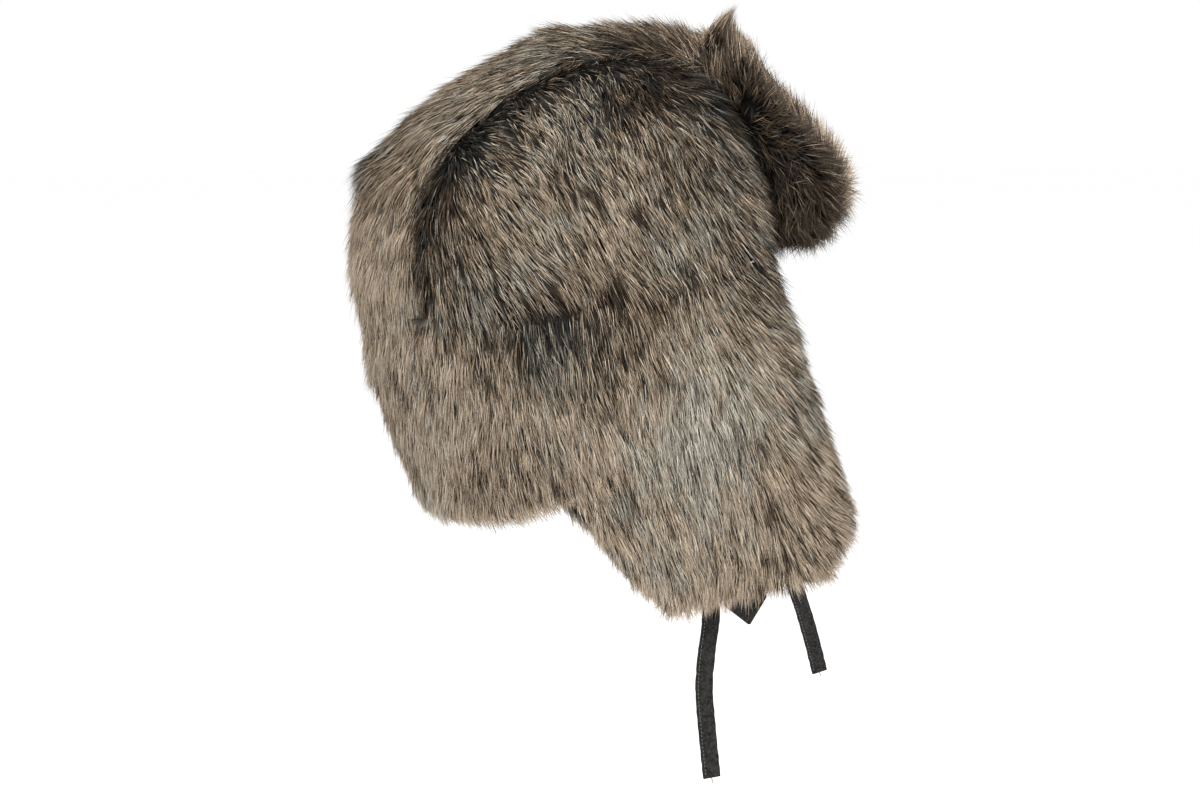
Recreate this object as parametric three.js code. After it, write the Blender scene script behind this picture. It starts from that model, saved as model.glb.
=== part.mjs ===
// Fur trapper hat with its ear flaps down and its front visor folded up.
// Millimetres, +Z up. The hat faces -Y and the wearer's right is -X.
// The origin is the middle of the head opening, where the head sits in the hat.
import * as THREE from "three";

// Overall sizes
const HEAD_TILT = THREE.MathUtils.degToRad(9.5); // the hat sits back, its front raised
const BAND_Z = 15; // seam line under the crown's side panels
const PLAN_MIDDLE_Y = 8;
const FRONT_SQUARENESS = 3.2; // the plan is boxy in front
const BACK_SQUARENESS = 2; // and round behind
const PLAN_END = 0.995; // share of the plan's reach at which its ends are closed
const PANEL_FULLNESS = 1.15; // how far a side panel bows out between its seam and the band
const WALL = 4; // pelt with its quilted lining
const FUR_LOFT = 18; // pile standing off the pelt
const GAP = 0.5; // clearance between pelt and pile
const BACKING = 1; // web that holds the locks of a pile together

// Pile relief
const LOCK_STEPS = 3; // grid steps in one lock, root to tip
const LOCK_RISE = 0.34; // share of the loft that a lock gains from root to tip
const LOCK_UNDERCUT = 0.6; // how far a lock's tip overhangs the next root, in steps
const LOCK_OFFSETS = [0, 2, 1, 2, 0, 1, 1, 0, 2]; // neighbouring columns start apart
const SEAM_SHARE = 0.55; // pile height left beside a seam
const HEM_SHARE = 0.35; // pile height left at a hem
const BAND_SHARE = 0.8; // pile height left along the band
const FLAP_SIDE_SHARE = 0.75; // pile height left where an ear flap meets the nape
const EDGE_STEPS = 2; // grid steps over which a pile falls to its edge height

// Ties and tabs
const TIE_WIDTH = 10;
const TIE_THICK = 2.2;
const TIE_STEPS = 16; // pieces along a tie
const TIE_SOFTNESS = 0.55; // taken off the long edges of a tie
const TAB_THICK = 1.4;
const TAB_HALF_WIDTH = 12;
const TAB_POINT = { height: 13, halfWidth: 1.2, rise: 0.6 }; // its tapered part and blunt tip
const TAB_PLACE = { x: 68.8, y: -49.3, topZ: -148, tipZ: -184.4 };

// Crown over the fur, front to back: middle line, seam of the side panel, foot of the panel.
const CROWN_STATIONS = [
  { middleY: -111, middleZ: 15, seamX: 58, seamY: -102, seamZ: 17, footY: -101 },
  { middleY: -117, middleZ: 62, seamX: 58, seamY: -102, seamZ: 62, footY: -90 },
  { middleY: -106, middleZ: 108, seamX: 56, seamY: -88, seamZ: 101, footY: -64 },
  { middleY: -80, middleZ: 138, seamX: 52, seamY: -65, seamZ: 126, footY: -31 },
  { middleY: -32, middleZ: 149, seamX: 47, seamY: -27, seamZ: 137, footY: 1 },
  { middleY: 23, middleZ: 142, seamX: 46, seamY: 21, seamZ: 130, footY: 32 },
  { middleY: 73, middleZ: 119, seamX: 49, seamY: 65, seamZ: 107, footY: 58 },
  { middleY: 108, middleZ: 93, seamX: 57, seamY: 90, seamZ: 78, footY: 80 },
  { middleY: 126, middleZ: 54, seamX: 61, seamY: 99, seamZ: 46, footY: 93 },
  { middleY: 128, middleZ: 15, seamX: 62, seamY: 102, seamZ: 17, footY: 103 },
];

// Hanging part over the fur, from the band down: plan sizes and the ear flap's two edges.
const DROP_STATIONS = [
  { z: 15, halfWidth: 105, back: 120, front: 120, rearY: 40, frontY: -104 },
  { z: -15, halfWidth: 105, back: 119, front: 128, rearY: 40, frontY: -110 },
  { z: -51, halfWidth: 104, back: 115, front: 138, rearY: 41, frontY: -115 },
  { z: -86, halfWidth: 102, back: 107, front: 150, rearY: 41, frontY: -119 },
  { z: -114, halfWidth: 99, back: 99, front: 162, rearY: 31, frontY: -124 },
  { z: -140, halfWidth: 96, back: 94, front: 172, rearY: 16, frontY: -122 },
  { z: -160, halfWidth: 93, back: 92, front: 180, rearY: -2, frontY: -104 },
  { z: -173, halfWidth: 91, back: 92, front: 184, rearY: -24, frontY: -81 },
];
const NAPE_HEM = { middleZ: -110, cornerZ: -96, edgeY: 41 };

// Visor's fur-side pelt face from its fold up to its free edge.
const VISOR_STATIONS = [
  { z: 22, middleY: -96, halfWidth: 48, bend: 7, pile: 4 },
  { z: 22, middleY: -113, halfWidth: 56, bend: 13, pile: 8 },
  { z: 31, middleY: -127, halfWidth: 65, bend: 20, pile: 22 },
  { z: 50, middleY: -132, halfWidth: 69, bend: 21, pile: 28 },
  { z: 74, middleY: -127, halfWidth: 68, bend: 21, pile: 20 },
  { z: 98, middleY: -117, halfWidth: 64, bend: 21, pile: 15 },
  { z: 117, middleY: -109, halfWidth: 57, bend: 20, pile: 13 },
  { z: 131, middleY: -101, halfWidth: 48, bend: 18, pile: 12 },
];
const VISOR_FOLD = { y: -100, z: 60 }; // the visor's pile stands away from here
const HAT_MIDDLE_Z = -20; // every other pile stands away from here

// Middle of each tie, from its seam on the flap's inner face to its cut end.
const TIE_RIGHT_ROUTE = [
  { x: -66.6, y: -57.6, z: -130 },
  { x: -66.6, y: -57.8, z: -142 },
  { x: -66.6, y: -57.8, z: -170 },
  { x: -66.6, y: -55.6, z: -189 },
  { x: -66.6, y: -54.3, z: -209 },
  { x: -66.6, y: -56.1, z: -232 },
  { x: -66.6, y: -59.2, z: -261 },
];
const TIE_LEFT_ROUTE = [
  { x: 61.5, y: -123.5, z: -125 },
  { x: 61.5, y: -127.9, z: -136 },
  { x: 62.5, y: -138.5, z: -163 },
  { x: 64.5, y: -152.6, z: -201 },
  { x: 64.5, y: -160.1, z: -225 },
  { x: 64.5, y: -166, z: -247 },
];

const SLOPE_STEP = 1e-3; // step in a surface's own places for its slope

// Looks
const fur = new THREE.MeshStandardMaterial({ color: 0x7d6c5b, roughness: 0.95, metalness: 0 });
const darkFur = new THREE.MeshStandardMaterial({ color: 0x5d5045, roughness: 0.95, metalness: 0 });
const lining = new THREE.MeshStandardMaterial({ color: 0x2c2622, roughness: 0.85, metalness: 0 });
const leather = new THREE.MeshStandardMaterial({ color: 0x2a211d, roughness: 0.6, metalness: 0 });

// Smooth value of a table's column at a place t from 0 to 1.
function column(table, name, t) {
  const span = table.length - 1;
  const at = Math.min(Math.max(t, 0), 1) * span;
  const i = Math.min(Math.floor(at), span - 1);
  const f = at - i;
  const value = (k) => table[Math.min(Math.max(k, 0), span)][name];
  const slopeIn = (value(i + 1) - value(i - 1)) / 2;
  const slopeOut = (value(i + 2) - value(i)) / 2;
  const f2 = f * f;
  const f3 = f2 * f;
  return (2 * f3 - 3 * f2 + 1) * value(i) + (f3 - 2 * f2 + f) * slopeIn
    + (3 * f2 - 2 * f3) * value(i + 1) + (f3 - f2) * slopeOut;
}

// Row of the hanging part at a height.
function dropPlace(z) {
  const rows = DROP_STATIONS;
  let i = 0;
  while (i < rows.length - 2 && z < rows[i + 1].z) i += 1;
  return (i + (rows[i].z - z) / (rows[i].z - rows[i + 1].z)) / (rows.length - 1);
}

// Half width of the plan at a front-to-back place and a height.
function planHalfWidth(y, z) {
  const t = dropPlace(z);
  const behind = y > PLAN_MIDDLE_Y;
  const reach = column(DROP_STATIONS, behind ? "back" : "front", t);
  const power = behind ? BACK_SQUARENESS : FRONT_SQUARENESS;
  const share = Math.min(Math.abs(y - PLAN_MIDDLE_Y) / reach, PLAN_END);
  return column(DROP_STATIONS, "halfWidth", t) * (1 - share ** power) ** (1 / power);
}

// Left half of the crown over its fur: t runs front to back, s from the middle line (0)
// over the seam (1) to the panel's foot on the band (2).
function crownSurface(t, s) {
  const at = (name) => column(CROWN_STATIONS, name, t);
  const middle = new THREE.Vector3(0, at("middleY"), at("middleZ"));
  const seam = new THREE.Vector3(at("seamX"), at("seamY"), at("seamZ"));
  if (s <= 1) {
    return new THREE.Vector3(
      seam.x * s,
      middle.y + (seam.y - middle.y) * s * s,
      middle.z + (seam.z - middle.z) * s * s,
    );
  }
  const footY = at("footY");
  const foot = new THREE.Vector3(planHalfWidth(footY, BAND_Z), footY, BAND_Z);
  const chord = seam.distanceTo(foot);
  const leave = new THREE.Vector3(seam.x, 2 * (seam.y - middle.y), 2 * (seam.z - middle.z));
  leave.setLength(chord * PANEL_FULLNESS);
  const arrive = new THREE.Vector3(0, 0, -chord * PANEL_FULLNESS);
  const f = s - 1;
  const f2 = f * f;
  const f3 = f2 * f;
  return new THREE.Vector3()
    .addScaledVector(seam, 2 * f3 - 3 * f2 + 1)
    .addScaledVector(leave, f3 - 2 * f2 + f)
    .addScaledVector(foot, 3 * f2 - 2 * f3)
    .addScaledVector(arrive, f3 - f2);
}

// Left ear flap over its fur: a runs from the rear edge to the front, d from the band down.
function earSurface(a, d) {
  const z = THREE.MathUtils.lerp(BAND_Z, DROP_STATIONS[DROP_STATIONS.length - 1].z, d);
  const t = dropPlace(z);
  const rear = column(DROP_STATIONS, "rearY", t);
  const front = column(DROP_STATIONS, "frontY", t);
  const y = THREE.MathUtils.lerp(rear, front, a);
  return new THREE.Vector3(planHalfWidth(y, z), y, z);
}

// Nape over its fur: a runs from the right edge (-1) round the back to the left (1), d down.
function napeSurface(a, d) {
  const hem = THREE.MathUtils.lerp(NAPE_HEM.middleZ, NAPE_HEM.cornerZ, a * a * a * a);
  const z = THREE.MathUtils.lerp(BAND_Z, hem, d);
  const t = dropPlace(z);
  const reach = column(DROP_STATIONS, "back", t);
  const end = Math.acos((NAPE_HEM.edgeY - PLAN_MIDDLE_Y) / reach);
  return new THREE.Vector3(
    column(DROP_STATIONS, "halfWidth", t) * Math.sin(end * a),
    PLAN_MIDDLE_Y + reach * Math.cos(end * a),
    z,
  );
}

// Visor's pelt face: a runs from its right end (-1) to its left (1), h from the fold up.
function visorSurface(a, h) {
  const at = (name) => column(VISOR_STATIONS, name, h);
  return new THREE.Vector3(at("halfWidth") * a, at("middleY") + at("bend") * a * a, at("z"));
}

// Outward unit normal of a surface, away from a point inside it.
function outward(surface, u, v, inside) {
  const e = SLOPE_STEP;
  const alongU = surface(u + e, v).sub(surface(u - e, v));
  const alongV = surface(u, v + e).sub(surface(u, v - e));
  const normal = alongU.cross(alongV).normalize();
  const away = surface(u, v).sub(inside);
  return normal.dot(away) < 0 ? normal.negate() : normal;
}

// One closed skin between two grids of points with the same number of rows and columns.
function closedSkin(outer, inner, mirrored) {
  const rows = outer.length;
  const cols = outer[0].length;
  const flip = mirrored ? -1 : 1;
  const positions = [];
  for (const grid of [outer, inner]) {
    for (const line of grid) {
      for (const p of line) positions.push(p.x * flip, p.y, p.z);
    }
  }
  const index = [];
  const at = (side, i, j) => side * rows * cols + i * cols + j;
  const quad = (a, b, c, d) => index.push(a, b, c, a, c, d);
  for (let i = 0; i < rows - 1; i += 1) {
    for (let j = 0; j < cols - 1; j += 1) {
      quad(at(0, i, j), at(0, i + 1, j), at(0, i + 1, j + 1), at(0, i, j + 1));
      quad(at(1, i, j), at(1, i, j + 1), at(1, i + 1, j + 1), at(1, i + 1, j));
    }
  }
  for (let i = 0; i < rows - 1; i += 1) {
    quad(at(0, i, 0), at(1, i, 0), at(1, i + 1, 0), at(0, i + 1, 0));
    quad(at(0, i, cols - 1), at(0, i + 1, cols - 1), at(1, i + 1, cols - 1), at(1, i, cols - 1));
  }
  for (let j = 0; j < cols - 1; j += 1) {
    quad(at(0, 0, j), at(0, 0, j + 1), at(1, 0, j + 1), at(1, 0, j));
    quad(at(0, rows - 1, j), at(1, rows - 1, j), at(1, rows - 1, j + 1), at(0, rows - 1, j + 1));
  }
  return facingOut(positions, index);
}

// Indexed geometry whose triangles face out of the body.
function facingOut(positions, index) {
  const corner = (k) => new THREE.Vector3().fromArray(positions, index[k] * 3);
  let volume = 0;
  for (let k = 0; k < index.length; k += 3) {
    volume += corner(k).dot(corner(k + 1).cross(corner(k + 2)));
  }
  if (volume < 0) {
    for (let k = 0; k < index.length; k += 3) {
      [index[k + 1], index[k + 2]] = [index[k + 2], index[k + 1]];
    }
  }
  const geometry = new THREE.BufferGeometry();
  geometry.setAttribute("position", new THREE.Float32BufferAttribute(positions, 3));
  geometry.setIndex(index);
  geometry.computeVertexNormals();
  return geometry;
}

// Evenly spaced places between two ends.
function spread(from, to, steps) {
  return Array.from({ length: steps + 1 }, (_, i) => from + ((to - from) * i) / steps);
}

// Pelt of a panel: the wall between depth and depth + WALL under the surface.
function pelt(panel, mirrored) {
  const { surface, inside, u, v, peltGrid, depth } = panel;
  const line = (under) => spread(u.from, u.to - u.trimEnd, peltGrid[0]).map(
    (a) => spread(v.from, v.to - v.trimEnd, peltGrid[1]).map(
      (b) => surface(a, b).addScaledVector(outward(surface, a, b, inside), -under),
    ),
  );
  return closedSkin(line(depth), line(depth + WALL), mirrored);
}

// Share of the loft left near an edge: 1 in the field, less in the last steps before it.
function edgeShare(steps, share) {
  if (steps >= EDGE_STEPS) return 1;
  return share + (1 - share) * Math.sin((Math.PI / 2) * (steps / EDGE_STEPS));
}

// Pile of a panel: locks that rise along the lie of the fur and overlap the next ones,
// fused to one backing that lies on the pelt. The lie runs along u.
function pile(panel, mirrored) {
  const { surface, inside, u, v, pileGrid, depth, loft, ends } = panel;
  const us = spread(u.from, u.to, pileGrid[0]);
  const vs = spread(v.from, v.to, pileGrid[1]);
  const last = { i: us.length - 1, j: vs.length - 1 };
  const step = us[1] - us[0];
  const outer = us.map((a, i) => vs.map((b, j) => {
    const along = (i + LOCK_OFFSETS[j % LOCK_OFFSETS.length]) % LOCK_STEPS;
    const inField = i > 0 && i < last.i;
    const place = along === 0 && inField ? a - LOCK_UNDERCUT * step : a;
    const lock = 1 - LOCK_RISE * (1 - along / (LOCK_STEPS - 1));
    const edge = Math.min(
      edgeShare(i, ends.start),
      edgeShare(last.i - i, ends.finish),
      edgeShare(j, ends.low),
      edgeShare(last.j - j, ends.high),
    );
    const root = GAP + BACKING;
    const height = -depth + root + (loft(a) - root) * lock * edge;
    return surface(place, b).addScaledVector(outward(surface, place, b, inside), height);
  }));
  const inner = us.map((a) => vs.map(
    (b) => surface(a, b).addScaledVector(outward(surface, a, b, inside), -depth + GAP),
  ));
  return closedSkin(outer, inner, mirrored);
}

// Flat strap along a route: its width lies in the route's plane, its thickness along X.
function strap(route) {
  const curve = new THREE.CatmullRomCurve3(route.map((p) => new THREE.Vector3(p.x, p.y, p.z)));
  const steps = TIE_STEPS;
  const half = { w: TIE_WIDTH / 2, t: TIE_THICK / 2 };
  const soft = TIE_SOFTNESS;
  const section = [
    [-half.w, -half.t + soft], [-half.w + soft, -half.t], [half.w - soft, -half.t],
    [half.w, -half.t + soft], [half.w, half.t - soft], [half.w - soft, half.t],
    [-half.w + soft, half.t], [-half.w, half.t - soft],
  ];
  const across = new THREE.Vector3(1, 0, 0);
  const positions = [];
  for (let i = 0; i <= steps; i += 1) {
    const centre = curve.getPointAt(i / steps);
    const side = curve.getTangentAt(i / steps).cross(across).normalize();
    for (const [w, t] of section) {
      const p = centre.clone().addScaledVector(side, w).addScaledVector(across, t);
      positions.push(p.x, p.y, p.z);
    }
  }
  const n = section.length;
  const index = [];
  for (let i = 0; i < steps; i += 1) {
    for (let k = 0; k < n; k += 1) {
      const a = i * n + k;
      const b = i * n + ((k + 1) % n);
      index.push(a, b, b + n, a, b + n, a + n);
    }
  }
  for (let k = 1; k < n - 1; k += 1) {
    index.push(0, k + 1, k);
    index.push(steps * n, steps * n + k, steps * n + k + 1);
  }
  return facingOut(positions, index);
}

// Pointed leather tab, its tip down, in the hat's frame.
function tab(x) {
  const w = TAB_HALF_WIDTH;
  const { y, topZ, tipZ } = TAB_PLACE;
  const { height, halfWidth, rise } = TAB_POINT;
  const shape = new THREE.Shape();
  shape.moveTo(-w, topZ);
  shape.lineTo(w, topZ);
  shape.lineTo(w, tipZ + height);
  shape.lineTo(halfWidth, tipZ + rise);
  shape.quadraticCurveTo(0, tipZ - rise / 2, -halfWidth, tipZ + rise);
  shape.lineTo(-w, tipZ + height);
  const plate = new THREE.ExtrudeGeometry(shape, {
    depth: TAB_THICK, bevelEnabled: false, curveSegments: 6,
  });
  plate.translate(0, 0, -TAB_THICK / 2);
  // Shape x becomes the hat's Y, shape y its Z, and the extrusion its X.
  const basis = new THREE.Matrix4().makeBasis(
    new THREE.Vector3(0, 1, 0), new THREE.Vector3(0, 0, 1), new THREE.Vector3(1, 0, 0),
  );
  plate.applyMatrix4(basis);
  plate.translate(x, y, 0);
  return plate;
}

// Panels
const evenLoft = () => FUR_LOFT;
const hatMiddle = new THREE.Vector3(0, PLAN_MIDDLE_Y, HAT_MIDDLE_Z);
const visorFold = new THREE.Vector3(0, VISOR_FOLD.y, VISOR_FOLD.z);
const stripPanel = {
  surface: (t, s) => {
    const p = crownSurface(t, Math.abs(s));
    p.x *= Math.sign(s) || 1;
    return p;
  },
  inside: hatMiddle,
  u: { from: 0.037, to: 0.996, trimEnd: 0 },
  v: { from: -0.99, to: 0.99, trimEnd: 0 },
  peltGrid: [18, 6],
  pileGrid: [36, 13],
  depth: FUR_LOFT,
  loft: evenLoft,
  ends: { start: SEAM_SHARE, finish: SEAM_SHARE, low: SEAM_SHARE, high: SEAM_SHARE },
};
const sidePanel = {
  surface: (s, t) => crownSurface(t, s),
  inside: hatMiddle,
  u: { from: 1.01, to: 1.994, trimEnd: 0 },
  v: { from: 0.045, to: 0.955, trimEnd: 0 },
  peltGrid: [5, 9],
  pileGrid: [11, 20],
  depth: FUR_LOFT,
  loft: evenLoft,
  ends: { start: SEAM_SHARE, finish: BAND_SHARE, low: SEAM_SHARE, high: SEAM_SHARE },
};
const earPanel = {
  surface: (d, a) => earSurface(a, d),
  inside: hatMiddle,
  u: { from: 0.006, to: 1, trimEnd: 0.065 },
  v: { from: 0.006, to: 1, trimEnd: 0.08 },
  peltGrid: [8, 7],
  pileGrid: [15, 16],
  depth: FUR_LOFT,
  loft: evenLoft,
  ends: { start: BAND_SHARE, finish: HEM_SHARE, low: FLAP_SIDE_SHARE, high: HEM_SHARE },
};
const napePanel = {
  surface: (d, a) => napeSurface(a, d),
  inside: hatMiddle,
  u: { from: 0.012, to: 1, trimEnd: 0.09 },
  v: { from: -0.996, to: 0.996, trimEnd: 0 },
  peltGrid: [5, 14],
  pileGrid: [11, 30],
  depth: FUR_LOFT,
  loft: evenLoft,
  ends: {
    start: BAND_SHARE, finish: HEM_SHARE, low: FLAP_SIDE_SHARE, high: FLAP_SIDE_SHARE,
  },
};
const visorPanel = {
  surface: (h, a) => visorSurface(a, h),
  inside: visorFold,
  u: { from: 0, to: 1, trimEnd: 0 },
  v: { from: -1, to: 1, trimEnd: 0 },
  peltGrid: [9, 7],
  pileGrid: [14, 15],
  depth: 0,
  loft: (h) => column(VISOR_STATIONS, "pile", h),
  ends: { start: SEAM_SHARE, finish: HEM_SHARE, low: HEM_SHARE, high: HEM_SHARE },
};

// Assembly
const model = new THREE.Group();
model.name = "trapper_hat";
const hat = new THREE.Group();
hat.name = "hat";
hat.rotation.x = -HEAD_TILT;
model.add(hat);

function add(group, name, geometry, material) {
  const mesh = new THREE.Mesh(geometry, material);
  mesh.name = name;
  group.add(mesh);
  return mesh;
}

add(hat, "crown_strip", pelt(stripPanel, false), lining);
add(hat, "crown_strip_pile", pile(stripPanel, false), darkFur);
add(hat, "nape_flap", pelt(napePanel, false), lining);
add(hat, "nape_flap_pile", pile(napePanel, false), fur);
add(hat, "visor_flap", pelt(visorPanel, false), lining);
add(hat, "visor_flap_pile", pile(visorPanel, false), darkFur);
for (const side of [{ name: "left", mirrored: false }, { name: "right", mirrored: true }]) {
  add(hat, `side_panel_${side.name}`, pelt(sidePanel, side.mirrored), lining);
  add(hat, `side_panel_${side.name}_pile`, pile(sidePanel, side.mirrored), fur);
  add(hat, `ear_flap_${side.name}`, pelt(earPanel, side.mirrored), lining);
  add(hat, `ear_flap_${side.name}_pile`, pile(earPanel, side.mirrored), fur);
}
add(hat, "tab_right", tab(-TAB_PLACE.x), leather);
add(hat, "tab_left", tab(TAB_PLACE.x), leather);
add(model, "tie_right", strap(TIE_RIGHT_ROUTE), leather);
add(model, "tie_left", strap(TIE_LEFT_ROUTE), leather);

export default model;
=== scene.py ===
"""Fur trapper hat: pelt walls, dense pile of separate hairs, leather ties and tabs."""

import bpy
import bmesh
import math
import numpy as np
from mathutils import Matrix, Vector


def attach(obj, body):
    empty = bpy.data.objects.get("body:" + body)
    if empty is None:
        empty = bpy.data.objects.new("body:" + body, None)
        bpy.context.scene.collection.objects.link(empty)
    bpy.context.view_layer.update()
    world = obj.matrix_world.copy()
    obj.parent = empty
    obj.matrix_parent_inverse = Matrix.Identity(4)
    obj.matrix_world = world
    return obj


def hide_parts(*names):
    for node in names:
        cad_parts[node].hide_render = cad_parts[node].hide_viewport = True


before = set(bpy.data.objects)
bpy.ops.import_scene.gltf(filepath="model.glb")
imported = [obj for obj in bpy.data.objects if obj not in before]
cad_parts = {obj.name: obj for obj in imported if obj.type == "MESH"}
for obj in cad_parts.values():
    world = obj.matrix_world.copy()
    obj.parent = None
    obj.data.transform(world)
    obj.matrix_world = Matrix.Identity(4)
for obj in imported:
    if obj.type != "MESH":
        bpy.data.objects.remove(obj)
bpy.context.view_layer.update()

bl_info = {
    "name": "Fur Trapper Hat",
    "version": (1, 0, 0),
    "blender": (4, 5, 0),
    "location": "View3D > Sidebar > Trapper Hat",
    "description": "Builds a fur trapper hat around its frame",
    "category": "Add Mesh",
}

MM = 0.001
FIRST_SEED = 4021

# Sizes shared with the frame, in millimetres of the untilted hat
HEAD_TILT = math.radians(9.5)
BAND_Z = 15
PLAN_MIDDLE_Y = 8
PLAN_END = 0.995  # share of the plan's reach where its width is cut off
FRONT_SQUARENESS = 3.2
BACK_SQUARENESS = 2
PANEL_FULLNESS = 1.15  # slope of a side panel at its ends, in chords
WALL = 4
FUR_LOFT = 18


def table(columns, *rows):
    """Rows of values under named columns."""
    return [dict(zip(columns.split(), row)) for row in rows]


CROWN_STATIONS = table(
    "middleY middleZ seamX seamY seamZ footY",
    (-111, 15, 58, -102, 17, -101),
    (-117, 62, 58, -102, 62, -90),
    (-106, 108, 56, -88, 101, -64),
    (-80, 138, 52, -65, 126, -31),
    (-32, 149, 47, -27, 137, 1),
    (23, 142, 46, 21, 130, 32),
    (73, 119, 49, 65, 107, 58),
    (108, 93, 57, 90, 78, 80),
    (126, 54, 61, 99, 46, 93),
    (128, 15, 62, 102, 17, 103),
)
DROP_STATIONS = table(
    "z halfWidth back front rearY frontY",
    (15, 105, 120, 120, 40, -104),
    (-15, 105, 119, 128, 40, -110),
    (-51, 104, 115, 138, 41, -115),
    (-86, 102, 107, 150, 41, -119),
    (-114, 99, 99, 162, 31, -124),
    (-140, 96, 94, 172, 16, -122),
    (-160, 93, 92, 180, -2, -104),
    (-173, 91, 92, 184, -24, -81),
)
NAPE_HEM = dict(middleZ=-110, cornerZ=-96, edgeY=41)
VISOR_STATIONS = table(
    "z middleY halfWidth bend pile",
    (22, -96, 48, 7, 0),
    (22, -113, 56, 13, 3),
    (31, -127, 65, 20, 25),
    (50, -132, 69, 21, 23),
    (74, -127, 68, 21, 7),
    (98, -117, 64, 21, 3),
    (117, -109, 57, 20, 4),
    (131, -101, 48, 18, 6),
)
HAT_MIDDLE = (0, PLAN_MIDDLE_Y, -20)
VISOR_FOLD = (0, -100, 60)
VISOR_END = (0, -80, 80)  # middle of the roll where it is open

TIE_WIDTH = 10
TIE_THICK = 2.2
TAB_PLACE = (68.8, -49.3, -184.4)  # tip of the left tab, in the untilted hat
TAB_SIZE = (1.4, 24, 23.4)
TAB_POINT = (12.4, 0.6)  # height of its taper and of its blunt tip
TAB_TAPER = (0.1, 0.5)  # share of the width that each of them leaves
TIE_STEPS = 48  # cuts across a tie
STITCH_SPACING = 2.2
STITCH_PLACE = -3.6  # from a tie's middle line towards its near edge
LEATHER_EDGE = math.radians(40)  # sharper bends keep their crease
# Middle of each tie in the worn hat, from its seam to its cut end.
TIE_RIGHT_ROUTE = [
    (-66.6, -57.6, -130), (-66.6, -57.8, -142), (-66.6, -57.8, -170),
    (-66.6, -55.6, -189), (-66.6, -54.3, -209), (-66.6, -56.1, -232),
    (-66.6, -59.2, -261),
]
TIE_LEFT_ROUTE = [
    (61.5, -123.5, -125), (61.5, -127.9, -136), (62.5, -138.5, -163),
    (64.5, -152.6, -201), (64.5, -160.1, -225), (64.5, -166, -247),
]


# Surfaces
def hermite(f, start, leaving, end, arriving):
    """Smooth way from one value to another with the slopes at both."""
    f2, f3 = f * f, f * f * f
    return (
        start * (2 * f3 - 3 * f2 + 1) + leaving * (f3 - 2 * f2 + f)
        + end * (3 * f2 - 2 * f3) + arriving * (f3 - f2)
    )


def column(rows, name, t):
    """Smooth value of a table's column at places t from 0 to 1."""
    values = np.array([row[name] for row in rows], float)
    span = len(rows) - 1
    at = np.clip(t, 0, 1) * span
    i = np.minimum(np.floor(at).astype(int), span - 1)
    value = lambda k: values[np.clip(k, 0, span)]
    slope_in = (value(i + 1) - value(i - 1)) / 2
    slope_out = (value(i + 2) - value(i)) / 2
    return hermite(at - i, value(i), slope_in, value(i + 1), slope_out)


def drop_place(z):
    """Place of a height in the table of the hanging part."""
    heights = np.array([row["z"] for row in DROP_STATIONS], float)
    return np.interp(-z, -heights, np.arange(len(heights))) / (len(heights) - 1)


def plan_half_width(y, z):
    """Half width of the plan at a front-to-back place and a height."""
    t = drop_place(z)
    behind = y > PLAN_MIDDLE_Y
    reach = np.where(behind, column(DROP_STATIONS, "back", t), column(DROP_STATIONS, "front", t))
    power = np.where(behind, BACK_SQUARENESS, FRONT_SQUARENESS)
    share = np.minimum(np.abs(y - PLAN_MIDDLE_Y) / reach, PLAN_END)
    return column(DROP_STATIONS, "halfWidth", t) * (1 - share**power) ** (1 / power)


def crown_surface(t, s):
    """Crown over its fur: t front to back, |s| from the middle line over the seam to the foot."""
    side = np.where(s < 0, -1.0, 1.0)
    s = np.abs(s)
    at = lambda name: column(CROWN_STATIONS, name, t)
    zero = np.zeros_like(t)
    middle = np.stack([zero, at("middleY"), at("middleZ")], -1)
    seam = np.stack([at("seamX"), at("seamY"), at("seamZ")], -1)
    near = np.minimum(s, 1)[..., None]
    strip = middle + (seam - middle) * near**2
    strip[..., 0] = seam[..., 0] * near[..., 0]
    foot_y = at("footY")
    foot = np.stack([plan_half_width(foot_y, zero + BAND_Z), foot_y, zero + BAND_Z], -1)
    chord = np.linalg.norm(seam - foot, axis=-1, keepdims=True)
    leave = 2 * (seam - middle)
    leave[..., 0] = seam[..., 0]
    leave *= PANEL_FULLNESS * chord / np.linalg.norm(leave, axis=-1, keepdims=True)
    arrive = np.concatenate([0 * chord, 0 * chord, -PANEL_FULLNESS * chord], -1)
    panel = hermite(np.maximum(s - 1, 0)[..., None], seam, leave, foot, arrive)
    place = np.where(s[..., None] <= 1, strip, panel)
    place[..., 0] *= side
    return place


def ear_surface(a, d):
    """Left ear flap over its fur: a rear edge to front edge, d from the band down."""
    z = BAND_Z + (DROP_STATIONS[-1]["z"] - BAND_Z) * d
    t = drop_place(z)
    rear = column(DROP_STATIONS, "rearY", t)
    front = column(DROP_STATIONS, "frontY", t)
    y = rear + (front - rear) * a
    return np.stack([plan_half_width(y, z), y, z], -1)


def nape_surface(a, d):
    """Nape over its fur: a from the right edge round the back to the left, d down."""
    hem = NAPE_HEM["middleZ"] + (NAPE_HEM["cornerZ"] - NAPE_HEM["middleZ"]) * a**4
    z = BAND_Z + (hem - BAND_Z) * d
    t = drop_place(z)
    reach = column(DROP_STATIONS, "back", t)
    end = np.arccos((NAPE_HEM["edgeY"] - PLAN_MIDDLE_Y) / reach)
    x = column(DROP_STATIONS, "halfWidth", t) * np.sin(end * a)
    return np.stack([x, PLAN_MIDDLE_Y + reach * np.cos(end * a), z], -1)


def visor_surface(a, h):
    """Visor's pelt face: a from end to end, h from the fold up."""
    at = lambda name: column(VISOR_STATIONS, name, h)
    return np.stack([at("halfWidth") * a, at("middleY") + at("bend") * a * a, at("z")], -1)


STEP = 1e-3  # of u or v, for slopes


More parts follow.
